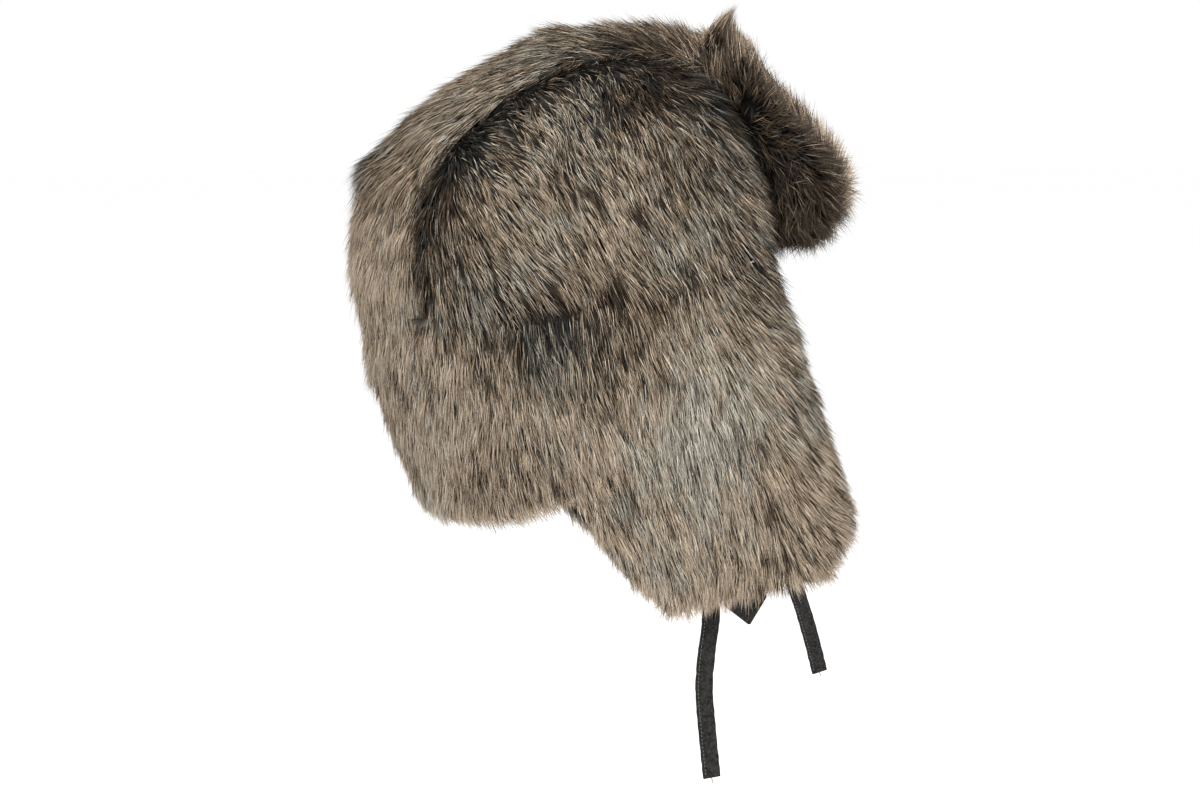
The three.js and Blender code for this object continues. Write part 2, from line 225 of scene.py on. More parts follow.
def steps_on(surface, u, v, e=STEP):
    """How far a surface goes over a small step each way, along u and along v."""
    return surface(u + e, v) - surface(u - e, v), surface(u, v + e) - surface(u, v - e)


def outward(surface, u, v, inside):
    """Unit normals of a surface, away from a point inside it."""
    normal = np.cross(*steps_on(surface, u, v))
    normal /= np.linalg.norm(normal, axis=-1, keepdims=True) + 1e-12
    away = surface(u, v) - np.array(inside, float)
    turn = np.where((normal * away).sum(-1) < 0, -1.0, 1.0)
    return normal * turn[..., None]


def tilted(points, angle):
    """Points or directions turned about the line from ear to ear."""
    c, s = math.cos(angle), math.sin(angle)
    x, y, z = points[..., 0], points[..., 1], points[..., 2]
    return np.stack([x, y * c - z * s, y * s + z * c], -1)


def worn(points):
    """Millimetres of the untilted hat to metres of the worn hat."""
    return tilted(points, -HEAD_TILT) * MM


def cell_key(cell):
    """One whole number for each cell of a lattice."""
    factors = np.array([73856093, 19349663, 83492791], cell.dtype)
    return np.bitwise_xor.reduce(cell * factors, axis=-1)


def grain(points, cell, seed):
    """Smooth noise from -1 to 1 in space, with features of the given size."""
    p = points / cell + seed * 7.31
    base = np.floor(p).astype(np.int64)
    f = p - base
    f = f * f * (3 - 2 * f)
    total = np.zeros(points.shape[:-1])
    for corner in range(8):
        bits = np.array([(corner >> k) & 1 for k in range(3)])
        h = cell_key((base + bits).astype(np.uint64)) + np.uint64(seed * 2654435761 % 2**31)
        h = (h ^ (h >> np.uint64(13))) * np.uint64(1274126177)
        h = (h ^ (h >> np.uint64(16))) & np.uint64(0xFFFF)
        weight = np.prod(np.where(bits, f, 1 - f), axis=-1)
        total += weight * (h.astype(float) / 32767.5 - 1)
    return total


# Panels
def ease(x):
    """0 to 1 over x from 0 to 1, with level ends."""
    x = np.clip(x, 0, 1)
    return x * x * (3 - 2 * x)


# The way the fur falls, in degrees from straight down towards the face, by place on the hat.
def side_fall(y, z):
    angle = 26 + 12 * np.exp(-(((y - 38) / 26) ** 2) - ((z - 36) / 22) ** 2)
    angle += 26 * ease((-y - 58) / 34)
    angle -= 20 * ease((z - 50) / 35) * ease((5 - y) / 25)
    angle += 12 * ease((z - 10) / 30) * ease((y - 15) / 30)
    return angle - 8 * ease((y - 62) / 18)


def ear_fall(y, z):
    past = np.clip(-50 + (z + 40) * 0.15 - y, 0, None)
    low = ease((-z - 50) / 30)
    angle = 12 - 9 * ease((-z - 105) / 50) + 38 * (1 - np.exp(-past / 24))
    angle += 10 * low * np.exp(-(((y - 22) / 26) ** 2))
    angle += 15 * ease((-z - 100) / 30) * ease((-y - 80) / 24)
    # Along the free rear edge the hairs turn back over it.
    rear = column(DROP_STATIONS, "rearY", drop_place(z))
    return angle - 13 * ease((-z - 90) / 14) * ease((y - rear + 12) / 10)


def nape_fall(y, z):
    low = ease((-z - 50) / 30)
    return 2 + np.clip((100 - y) * 0.22, 0, 9) + 11 * low * ease((96 - y) / 20)


# Each panel: its surface over (u, v), which runs over the fur; the pelt's depth under it; how
# high the pile stands; the share of that height left at each edge; the hairs' lean off the skin;
# and, for the ear flap, how far down its rear edge comes free of the nape and is rounded.
STRIP_SWELLS = [(0.63, 0.17, 4), (0.49, 0.03, 4.5), (0.765, 0.025, 3)]  # place, reach, rise
COMMON = dict(
    inside=HAT_MIDDLE, depth=FUR_LOFT, fall=None, rounding=14, lean=(26, 8),
    loft=lambda u: np.full_like(u, FUR_LOFT),
)
PANELS = {
    "crown_strip": dict(
        COMMON, surface=crown_surface, sides=(0,), u=(0.037, 0.998), v=(-0.998, 0.998),
        loft=lambda u: FUR_LOFT + sum(
            rise * np.exp(-(((u - at) / reach) ** 2)) for at, reach, rise in STRIP_SWELLS),
        edges=dict(u0=0.55, u1=1.0, v0=0.62, v1=0.62), rounding=12,
        lean=(20, 3), length=20, grid=(66, 28), hairs=29000,
    ),
    "side_panel": dict(
        COMMON, surface=lambda u, v: crown_surface(v, u), sides=(-1, 1),
        u=(1.003, 1.998), v=(0.045, 0.955), fall=side_fall,
        edges=dict(u0=0.5, u1=0.95, v0=0.5, v1=0.5), rounding=12,
        length=17, grid=(28, 44), hairs=16500,
    ),
    "ear_flap": dict(
        COMMON, surface=lambda u, v: ear_surface(v, u), sides=(-1, 1),
        u=(0.002, 0.955), v=(0.002, 0.95), fall=ear_fall,
        edges=dict(u0=0.95, u1=0.15, v0=1.0, v1=0.15), free_from=0.54,
        length=18, grid=(44, 36), hairs=21500,
    ),
    "nape_flap": dict(
        COMMON, surface=lambda u, v: nape_surface(v, u), sides=(0,),
        u=(0.002, 0.93), v=(-0.9995, 0.9995), fall=nape_fall,
        edges=dict(u0=1.0, u1=0.15, v0=1.0, v1=1.0), length=18, grid=(28, 64), hairs=22000,
    ),
    "visor_flap": dict(
        COMMON, surface=lambda u, v: visor_surface(v, u), inside=VISOR_FOLD, sides=(0,),
        u=(0.0, 1.0), v=(-1.0, 1.0), depth=0, loft=lambda u: column(VISOR_STATIONS, "pile", u),
        edges=dict(u0=0.3, u1=0.3, v0=0.2, v1=0.2), rounding=18,
        lean=(40, 22), length=20, grid=(24, 24), hairs=23500,
    ),
}


def edge_rise(panel, u, v):
    """Share of the pile's height left near the panel's edges."""
    (u0, u1), (v0, v1) = panel["u"], panel["v"]
    size_u, size_v = (
        np.linalg.norm(step, axis=-1) / (2 * STEP) for step in steps_on(panel["surface"], u, v)
    )
    share = np.ones_like(u)
    for key, gap in (
        ("u0", (u - u0) * size_u), ("u1", (u1 - u) * size_u),
        ("v0", (v - v0) * size_v), ("v1", (v1 - v) * size_v),
    ):
        low = panel["edges"][key]
        if key == "v0" and "free_from" in panel:
            low = low - 0.7 * ease((u - panel["free_from"]) / 0.07)
        near = np.clip(1 - gap / panel["rounding"], 0, 1)
        share = np.minimum(share, low + (1 - low) * np.sqrt(np.clip(1 - near**2, 0, 1)))
    return share


HEM_START = dict(ear_flap=128, nape_flap=74)  # how far down a hem's looser, browner fur starts
UNDERFUR = 0.66  # share of the loft that the dense underfur fills
UNDERFUR_SKIN = 1.2


def skin_point(panel, u, v):
    """Point of the pelt's outer face."""
    p = panel["surface"](u, v)
    return p - outward(panel["surface"], u, v, panel["inside"]) * panel["depth"]


def underfur_point(panel, u, v):
    """Point on the soft top of the underfur."""
    base = panel["surface"](u, v)
    normal = outward(panel["surface"], u, v, panel["inside"])
    lumps = 1 + 0.1 * grain(base, 23.0, 5) + 0.06 * grain(base, 9.0, 6)
    rise = panel["loft"](u) * UNDERFUR * edge_rise(panel, u, v) * lumps
    return base + normal * (rise - panel["depth"])[..., None]


# Fur tone
# Darker and lighter places in the coat: y, z, reach, change of tone, change of warmth.
TONE_PLACES = table(
    "y z ry rz tone warm panels",
    (76, 58, 20, 40, -0.18, 0.1, "side_panel"),
    (-30, 88, 60, 26, -0.13, 0.05, "side_panel"),
    (-62, 45, 34, 30, -0.16, 0.15, "side_panel"),
    (14, 43, 22, 9, -0.09, 0.1, "side_panel"),
    # Painted shade with dark fur: the valley's dark just under the seam, high on the side panel.
    (-42, 111, 30, 10, -0.7, 0.1, "side_panel"),
    (-28, 14, 16, 8, -0.16, 0.1, "side_panel ear_flap"),
    (40, -62, 9, 30, 0.22, 0, "ear_flap nape_flap"),
    (-76, 122, 20, 14, -0.2, 0.6, "crown_strip"),
    # Painted shade with dark fur: the valley's dark just under the seam, high on the side panel.
    (-76, 104, 14, 16, -0.4, 0, "side_panel"),
    (52, 104, 18, 13, -0.05, 0, "side_panel"),
    (42, 13, 30, 13, -0.44, -0.1, "side_panel ear_flap nape_flap"),
    (15, -62, 22, 34, 0.2, 0, "ear_flap"),
    (112, 12, 22, 13, 0.26, 0.1, "nape_flap crown_strip"),
    (74, -48, 20, 15, -0.1, 0, "nape_flap"),
    (54, -80, 24, 16, 0.12, 0.1, "nape_flap"),
    (-46, 128, 24, 9, -0.5, 0.1, "crown_strip"),
    (98, 100, 10, 9, -0.35, -0.2, "crown_strip"),
    (4, 155, 9, 10, -0.3, -0.1, "crown_strip"),
    (101, 84, 20, 20, -0.1, 0.1, "crown_strip"),
    # Painted shade with dark fur: the valley's dark just under the seam at the back of the side
    # panel.
    (74, 92, 16, 12, -0.3, 0, "side_panel"),
    (-12, 6, 26, 11, -0.14, 0.1, "side_panel ear_flap"),
    (-76, 10, 20, 12, -0.3, 0, "side_panel ear_flap"),
    (-96, -16, 12, 32, -0.18, 0, "ear_flap"),
    (-32, -52, 26, 34, 0.36, -0.5, "ear_flap"),
    (-8, -132, 40, 36, 0.19, 0.1, "ear_flap"),
    (-95, -110, 34, 40, 0.08, 0.35, "ear_flap"),
    (110, -30, 50, 50, 0.12, 0.3, "nape_flap"),
    (14, -14, 15, 22, -0.3, 0, "ear_flap side_panel"),
    (-40, 66, 20, 13, -0.12, 0, "side_panel"),
    (78, -8, 16, 16, 0.15, 0, "nape_flap"),
    (88, 112, 24, 20, -0.14, 0.1, "crown_strip"),
    (-15, 145, 60, 22, -0.05, 0.25, "crown_strip"),
    (-100, 90, 36, 60, -0.34, 0.3, "crown_strip"),
    (116, 64, 20, 34, 0.36, 0.15, "crown_strip"),
    (0, 63, 15, 10, 0.26, -0.1, "side_panel"),
    (40, 88, 10, 12, -0.12, 0, "side_panel"),
    (20, -34, 14, 12, -0.15, 0, "ear_flap"),
    (38, -14, 10, 12, -0.16, 0, "ear_flap nape_flap"),
    (128, 35, 30, 40, 0.16, 0.35, "crown_strip"),
)
STREAK_LEAN = math.radians(14)
VALLEY_SHADE = dict(tone=-0.65, middle=9, reach=8)  # dark fur with painted shade in the valley under the crown's seams, mm from the seam


def seam_distance(places):
    """Distance from the crown's nearer seam, and how strongly its valley shows there."""
    t = np.linspace(0.06, 0.94, 60)
    seam = np.stack([column(CROWN_STATIONS, k, t) for k in ("seamX", "seamY", "seamZ")], -1)
    folded = np.where([True, False, False], np.abs(places), places)
    near = np.full(len(places), np.inf)
    show = np.zeros(len(places))
    strength = 1 - 0.6 * ease((t - 0.68) / 0.2)
    for point, strong in zip(seam, strength):
        far = np.linalg.norm(folded - point, axis=-1)
        show = np.where(far < near, strong, show)
        near = np.minimum(near, far)
    return near, show


def coat_tone(kind, places):
    """Tone from 0, charcoal, to 1, pale, and warmth from 0 to 1 at places on the hat."""
    x, y, z = places.T
    streaky = tilted(places, STREAK_LEAN) * [1, 1, 0.42]
    tone = 0.60 + 0.10 * grain(places, 30.0, 11) + 0.10 * grain(streaky, 9.0, 12)
    streaky[:, 2] *= 0.6
    blots = np.clip(grain(streaky, 4.0, 15) - 0.25, 0, None)
    tone -= 0.85 * blots * (1 + grain(places, 40.0, 16))
    warm = 0.56 + 0.3 * grain(places, 34.0, 13) + 0.15 * grain(places, 12.0, 14)
    for spot in TONE_PLACES:
        if kind in spot["panels"]:
            far = ((y - spot["y"]) / spot["ry"]) ** 2 + ((z - spot["z"]) / spot["rz"]) ** 2
            tone += spot["tone"] * np.exp(-far)
            warm += spot["warm"] * np.exp(-far)
    if kind == "crown_strip":
        # Painted shade: the strip darkens along its edge where it meets the seam's valley.
        near, show = seam_distance(places)
        tone -= 0.4 * np.exp(-((near / 5) ** 2)) * show
    if kind == "side_panel":
        # Painted shade, with dark fur: the side panel darkens in the valley below the seam, under
        # the strip's overhanging edge.
        near, show = seam_distance(places)
        band = np.exp(-(np.clip(near - VALLEY_SHADE["middle"], 0, None) / VALLEY_SHADE["reach"]) ** 2)
        tone += VALLEY_SHADE["tone"] * band * show
    if kind in ("ear_flap", "nape_flap"):
        hem = ease((-z - HEM_START[kind]) / 30)
        tone += 0.06 * hem
        warm += 0.4 * hem
    if kind == "visor_flap":
        # Dark in the two open ends of the roll, painted shade in its hollow there, and high on its
        # front; brown elsewhere.
        middle = -116 + 0.5 * np.clip(z - 45, 0, None)
        core = ((y - middle) / 16) ** 4 + ((z - 62) / 44) ** 4
        ends = ease((np.abs(x) - 48) / 14) * np.exp(-core)
        high = np.exp(-(((y + 142) / 14) ** 2) - ((z - 78) / 13) ** 2)
        rim = np.exp(-(((y + 139) / 13) ** 2) - ((z - 34) / 20) ** 2)
        tone += 0.2 * rim - 0.12 - 1.05 * ends - 0.4 * high
        tone -= 0.15 * ease((z - 104) / 20)
        warm += 0.45 - 0.2 * ends
    return tone, warm


def hair_tone(tone, rng):
    """Tone of single hairs: mostly pale ones among charcoal ones, more of these in dark places."""
    count = len(tone)
    charcoal = rng.random(count) < np.clip(0.96 - 1.26 * tone, 0.05, 0.88)
    pale = 0.53 + 0.29 * np.clip(tone, -0.35, 1) + 0.15 * rng.standard_normal(count)
    return np.clip(np.where(charcoal, rng.uniform(0.03, 0.30, count), pale), 0.03, 0.97)


# Build helpers
def fresh_selection():
    if bpy.context.object and bpy.context.object.mode != "OBJECT":
        bpy.ops.object.mode_set(mode="OBJECT")
    bpy.ops.object.select_all(action="DESELECT")


def primitive(name, add, **settings):
    """A new primitive under its name."""
    fresh_selection()
    add(**settings)
    ob = bpy.context.object
    ob.name = ob.data.name = name
    return ob


def edit_all():
    bpy.ops.object.mode_set(mode="EDIT")
    bpy.ops.mesh.select_all(action="SELECT")


def turn_faces_out():
    """Turns the active mesh's faces out, and leaves edit mode."""
    edit_all()
    bpy.ops.mesh.normals_make_consistent(inside=False)
    bpy.ops.object.mode_set(mode="OBJECT")


def pick(ob, kind, wanted):
    """Selects the edges or faces that pass a test, in edit mode."""
    bpy.ops.mesh.select_mode(type=kind)
    bpy.ops.mesh.select_all(action="DESELECT")
    mesh = bmesh.from_edit_mesh(ob.data)
    for part in mesh.edges if kind == "EDGE" else mesh.faces:
        part.select_set(wanted(part))
    bmesh.update_edit_mesh(ob.data)


def coordinates(mesh):
    flat = np.empty(len(mesh.vertices) * 3)
    mesh.vertices.foreach_get("co", flat)
    return flat.reshape(-1, 3)


def lay(ob, metres):
    """Moves an object's points to new places."""
    ob.data.vertices.foreach_set("co", metres.ravel())
    ob.data.update()


def grid_on(name, place, steps, u, v, mirrored):
    """A primitive grid laid on a surface: its X runs along u and its Y along v."""
    add = bpy.ops.mesh.primitive_grid_add
    ob = primitive(name, add, x_subdivisions=steps[0], y_subdivisions=steps[1], size=1)
    flat = coordinates(ob.data) + 0.5
    points = place(u[0] + (u[1] - u[0]) * flat[:, 0], v[0] + (v[1] - v[0]) * flat[:, 1])
    if mirrored:
        points[:, 0] *= -1
    lay(ob, worn(points))
    return ob


def face_outwards(ob, thickness):
    """Gives an open sheet a wall inwards and turns its faces out."""
    turn_faces_out()
    sheet = ob.data
    middle = Vector((0, -0.09, 0.075) if ob.name.startswith("visor") else (0, 0.01, -0.02))
    if sum((face.center - middle).dot(face.normal) * face.area for face in sheet.polygons) < 0:
        sheet.flip_normals()
    wall = ob.modifiers.new("wall", "SOLIDIFY")
    wall.thickness = thickness * MM
    wall.offset = -1
    wall.use_even_offset = False
    bpy.ops.object.modifier_apply(modifier=wall.name)
    bpy.ops.object.shade_smooth()


def ride_and_replace(ob, node):
    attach(ob, "root")
    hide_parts(node)


# Materials
def new_material(name, roughness, specular):
    mat = bpy.data.materials.new(name)
    mat.use_nodes = True
    shader = mat.node_tree.nodes["Principled BSDF"]
    shader.inputs["Roughness"].default_value = roughness
    shader.inputs["Specular IOR Level"].default_value = specular
    return mat, mat.node_tree, shader


def feed(tree, socket, value):
    """Gives a socket another one's output, or a number or colour of its own."""
    if isinstance(value, bpy.types.NodeSocket):
        tree.links.new(value, socket)
    elif value is not None:
        socket.default_value = (*value, 1) if isinstance(value, tuple) else value


def ramp(tree, stops, source):
    node = tree.nodes.new("ShaderNodeValToRGB")
    elements = node.color_ramp.elements
    while len(elements) < len(stops):
        elements.new(0.5)
    for element, (place, colour) in zip(elements, stops):
        element.position = place
        element.color = (*colour, 1)
    feed(tree, node.inputs["Fac"], source)
    return node.outputs["Color"]


def maths(tree, operation, a, b=None):
    node = tree.nodes.new("ShaderNodeMath")
    node.operation = operation
    feed(tree, node.inputs[0], a)
    feed(tree, node.inputs[1], b)
    return node.outputs[0]


def mix(tree, factor, a, b, blend="MIX"):
    node = tree.nodes.new("ShaderNodeMix")
    node.data_type = "RGBA"
    node.blend_type = blend
    for number, value in ((0, factor), (6, a), (7, b)):
        feed(tree, node.inputs[number], value)
    return node.outputs[2]


# Hair colours, linear, dark to pale: a cool grey coat and a warm brown one.
COOL_COAT = [
    (0.0, (0.009, 0.009, 0.009)), (0.22, (0.040, 0.041, 0.039)), (0.45, (0.187, 0.170, 0.133)),
    (0.7, (0.415, 0.380, 0.305)), (1.0, (0.78, 0.725, 0.62)),
]
WARM_COAT = [
    (0.0, (0.012, 0.009, 0.006)), (0.22, (0.06, 0.042, 0.028)), (0.45, (0.23, 0.165, 0.105)),
    (0.7, (0.46, 0.355, 0.25)), (1.0, (0.78, 0.66, 0.52)),
]
ROOT_TO_TIP = ((0.0, 0.05), (0.25, 0.28), (0.55, 0.85), (1.0, 1.0))  # share of a hair's colour from root to tip: darker roots with painted shade deep in the pile


def fur_material():
    """Hair colour from the fur's map: across is tone and warmth, up is root to tip."""
    mat, tree, shader = new_material("fur", 0.5, 0.3)
    uv = tree.nodes.new("ShaderNodeUVMap")
    uv.uv_map = "OFBake"
    split = tree.nodes.new("ShaderNodeSeparateXYZ")
    feed(tree, split.inputs[0], uv.outputs["UV"])
    across, up = split.outputs["X"], split.outputs["Y"]
    tone = maths(tree, "FRACT", maths(tree, "MULTIPLY", across, 2.0))
    is_warm = maths(tree, "GREATER_THAN", across, 0.5)
    coat = mix(tree, is_warm, ramp(tree, COOL_COAT, tone), ramp(tree, WARM_COAT, tone))
    # Painted shade in the depth of the pile, with the roots' own darker colour.
    shade = ramp(tree, [(place, (share,) * 3) for place, share in ROOT_TO_TIP], up)
    feed(tree, shader.inputs["Base Color"], mix(tree, 1.0, coat, shade, "MULTIPLY"))
    # The depth of the coat is dull, the tips have a soft gloss.
    gloss = maths(tree, "MULTIPLY", maths(tree, "POWER", up, 2.0), 0.26)
    feed(tree, shader.inputs["Specular IOR Level"], gloss)
    return mat


def noise(tree, scale, detail, roughness=0.5):
    """Noise in the piece's own space."""
    place = tree.nodes.new("ShaderNodeTexCoord")
    node = tree.nodes.new("ShaderNodeTexNoise")
    for name, value in dict(Scale=scale, Detail=detail, Roughness=roughness).items():
        node.inputs[name].default_value = value
    feed(tree, node.inputs["Vector"], place.outputs["Object"])
    return node.outputs["Fac"]


def bump(tree, shader, height, strength, distance):
    """Relief on a shader's surface, its depth in metres."""
    node = tree.nodes.new("ShaderNodeBump")
    for name, value in dict(Strength=strength, Distance=distance, Height=height).items():
        feed(tree, node.inputs[name], value)
    feed(tree, shader.inputs["Normal"], node.outputs["Normal"])


def lining_material():
    """Dark brown cloth inside the pelts."""
    mat, tree, shader = new_material("lining", 0.85, 0.25)
    weave = noise(tree, 900, 4)
    shade = ramp(tree, [(0.3, (0.018, 0.014, 0.011)), (0.7, (0.045, 0.036, 0.03))], weave)
    feed(tree, shader.inputs["Base Color"], shade)
    bump(tree, shader, weave, 0.35, 0.0004)
    return mat


def leather_material(name, dark, light, roughness):
    """Dark leather or suede with a fine nap and paler worn spots."""
    mat, tree, shader = new_material(name, roughness, 0.1)
    nap = noise(tree, 760, 6, 0.75)
    wear = ramp(tree, [(0.5, (0,) * 3), (0.7, (0.5,) * 3)], noise(tree, 150, 5))
    colour = mix(tree, wear, ramp(tree, [(0.4, dark), (0.62, light)], nap), light)
    feed(tree, shader.inputs["Base Color"], colour)
    bump(tree, shader, nap, 0.9, 0.0006)
    return mat


# Hairs
def lock_of(roots, spacing):
    """For each hair the middle of the lock it belongs to and a number for that lock."""
    cell = np.floor(roots / spacing).astype(np.int64)
    best = np.full(len(roots), np.inf)
    middle = roots.copy()
    chosen = np.zeros(len(roots), np.int64)
    for step in np.ndindex(3, 3, 3):
        at = cell + np.array(step) - 1
        h = (cell_key(at).astype(np.uint64) * np.uint64(2654435761)) & np.uint64(0xFFFFFFFF)
        h = h ^ (h >> np.uint64(15))
        jitter = (h[:, None] >> np.array([0, 10, 20], np.uint64)) & np.uint64(0x3FF)
        point = (at + jitter.astype(float) / 1023) * spacing
        far = ((roots - point) ** 2).sum(-1)
        nearer = far < best
        best = np.where(nearer, far, best)
        middle = np.where(nearer[:, None], point, middle)
        chosen = np.where(nearer, h.astype(np.int64), chosen)
    return middle, chosen


def lock_random(key, salt):
    """A number from 0 to 1 for each lock."""
    h = (key.astype(np.uint64) + np.uint64(salt * 9176)) * np.uint64(2246822519)
    h = (h ^ (h >> np.uint64(15))) & np.uint64(0xFFFFFF)
    return h.astype(float) / 0xFFFFFF


def unit(vectors):
    return vectors / (np.linalg.norm(vectors, axis=-1, keepdims=True) + 1e-12)


HAIR_RADIUS = 0.19  # millimetres at a hair's thickest place
HAIR_BEND = 0.45  # share of the hair below its bend
ROOT_DEPTH = 2.0  # millimetres of it in the underfur
LOCK_SIZE = 5.5
PARTING = 0.34  # where the visor's fur parts, from its fold to its top
TONE_SPAN = (0.003, 0.497)  # the cool half of the fur's map, short of its ends


def turned(direction, axis, angle):
    """Directions turned about an axis that they stand square to."""
    return direction * np.cos(angle)[:, None] + np.cross(axis, direction) * np.sin(angle)[:, None]


def lie_of_fur(kind, panel, u, v, place, normal, root):
    """Unit direction along the skin in which the fur lies."""
    if panel["fall"]:
        angle = np.radians(panel["fall"](place[:, 1], place[:, 2])) - HEAD_TILT
        lie = np.stack([0 * angle, -np.sin(angle), -np.cos(angle)], -1)
    else:
        e = 2 * STEP
        us = np.clip(u, panel["u"][0] + e, panel["u"][1] - e)
        vs = np.clip(v, panel["v"][0] + e, panel["v"][1] - e)
        along, across = steps_on(panel["surface"], us, vs, e)
        along = unit(along)
        across = unit(across - along * (across * along).sum(-1, keepdims=True))
        if kind == "crown_strip":
            drift = np.radians(3) * v * np.abs(v)
            lie = along * np.cos(drift)[:, None] + across * np.sin(drift)[:, None]
        else:
            # Locks point down under the parting and up over it, and mingle where it runs.
            wander = 0.12 * grain(place, 24.0, 27) + 0.3 * grain(root, 5.0, 28)
            up = np.clip((u - PARTING + wander) * 5.0, -1, 1)
            sideways = 0.7 * v * np.abs(v) + 0.6 * grain(root, 7.0, 29)
            lie = along * up[:, None] + across * sideways[:, None]
            # Over the open ends the hairs spread like a fan out of the middle of the roll.
            end = ease((np.abs(v) - 0.8) / 0.16)[:, None]
            stray = np.stack([grain(root, 4.0, seed) for seed in (31, 32, 33)], -1)
            fan = unit((root - VISOR_END) * [0, 1, 1] + 20 * stray)
            lie = unit(lie) * (1 - end) + fan * end
    return unit(lie - normal * (lie * normal).sum(-1, keepdims=True))


def panel_roots(panel, count, rng):
    """Evenly scattered places on a panel's underfur: u, v, point and normal."""
    tries = 5 * count
    u = rng.uniform(*panel["u"], tries)
    v = rng.uniform(*panel["v"], tries)
    place = lambda a, b: underfur_point(panel, a, b)
    area = np.linalg.norm(np.cross(*steps_on(place, u, v, 2 * STEP)), axis=-1)
    area *= 1 + 1.1 * (1 - edge_rise(panel, u, v))
    chosen = rng.choice(tries, count, replace=False, p=area / area.sum())
    u, v = u[chosen], v[chosen]
    return u, v, place(u, v), outward(place, u, v, panel["inside"])


def visor_cushion(a, b, c):
    """Underfur all round the visor: a, b, c on a cube, up, across and out of it."""
    edge = np.maximum(np.abs(a), np.abs(b))
    tilt = np.arctan2(c, edge)
    reach = np.abs(np.cos(tilt)) ** 0.4
    height = np.sign(c) * np.abs(np.sin(tilt)) ** 0.4
    scale = reach / np.maximum(edge, 1e-9)
    u = 0.51 + 0.53 * a * scale
    v = 1.06 * b * scale
    inner_u, inner_v = np.clip(u, 0, 1), np.clip(v, -1, 1)
    surface = PANELS["visor_flap"]["surface"]
    near_u = np.clip(inner_u, STEP, 1)
    past_u = (surface(near_u, inner_v) - surface(near_u - STEP, inner_v)) / STEP
    past_v = surface(inner_u, 0 * v + 1) - surface(inner_u, 0 * v)
    base = surface(inner_u, inner_v) + (u - inner_u)[:, None] * past_u
    base = base + (v - inner_v)[:, None] * past_v
    normal = outward(surface, np.clip(inner_u, 2 * STEP, 1 - 2 * STEP), inner_v, VISOR_FOLD)
    lumps = 1 + 0.12 * grain(base, 21.0, 5) + 0.07 * grain(base, 9.0, 6)
    front = 2 + PANELS["visor_flap"]["loft"](inner_u) * UNDERFUR * lumps
    front *= 0.5 + 0.5 * ease(inner_u / 0.42)
    ends = ease((np.abs(v) - 0.62) / 0.3)
    behind = WALL + 3 * ease(inner_u / 0.3)
    behind += 15 * ends * ease(inner_u / 0.25) * ease((1 - inner_u) / 0.3)
    rise = height * np.where(height > 0, front, behind)
    return base + normal * rise[:, None], u, v, height


def visor_roots(sheet, count, rng):
    """Scattered places on the visor's underfur, few on its back away from the edges."""
    corners, normals, extra = sheet
    a, b, c = corners.transpose(1, 0, 2)
    spread = np.linalg.norm(np.cross(b - a, c - a), axis=-1)
    up, across, height = extra.mean(1).T
    hidden = (height < -0.6) & (up < 0.75)
    spread *= np.where(hidden, 0.12, np.where(height < 0, 0.8, 1.0))
    across = np.abs(across)
    spread *= np.where(across > 0.9, 2.2, 1.0)
    # More hairs grow along the parting on the front.
    parting = np.exp(-(((up - PARTING) / 0.1) ** 2)) * (height > 0)
    spread *= 1 + 1.5 * parting * (across < 0.7)
    chosen = rng.choice(len(spread), count, p=spread / spread.sum())
    first = np.sqrt(rng.random(count))
    second = rng.random(count)
    share = np.stack([1 - first, first * (1 - second), first * second], -1)[..., None]
    mixed = lambda values: (values[chosen] * share).sum(1)
    uvh = mixed(extra)
    return uvh[:, 0], uvh[:, 1], mixed(corners), unit(mixed(normals)), uvh[:, 2]


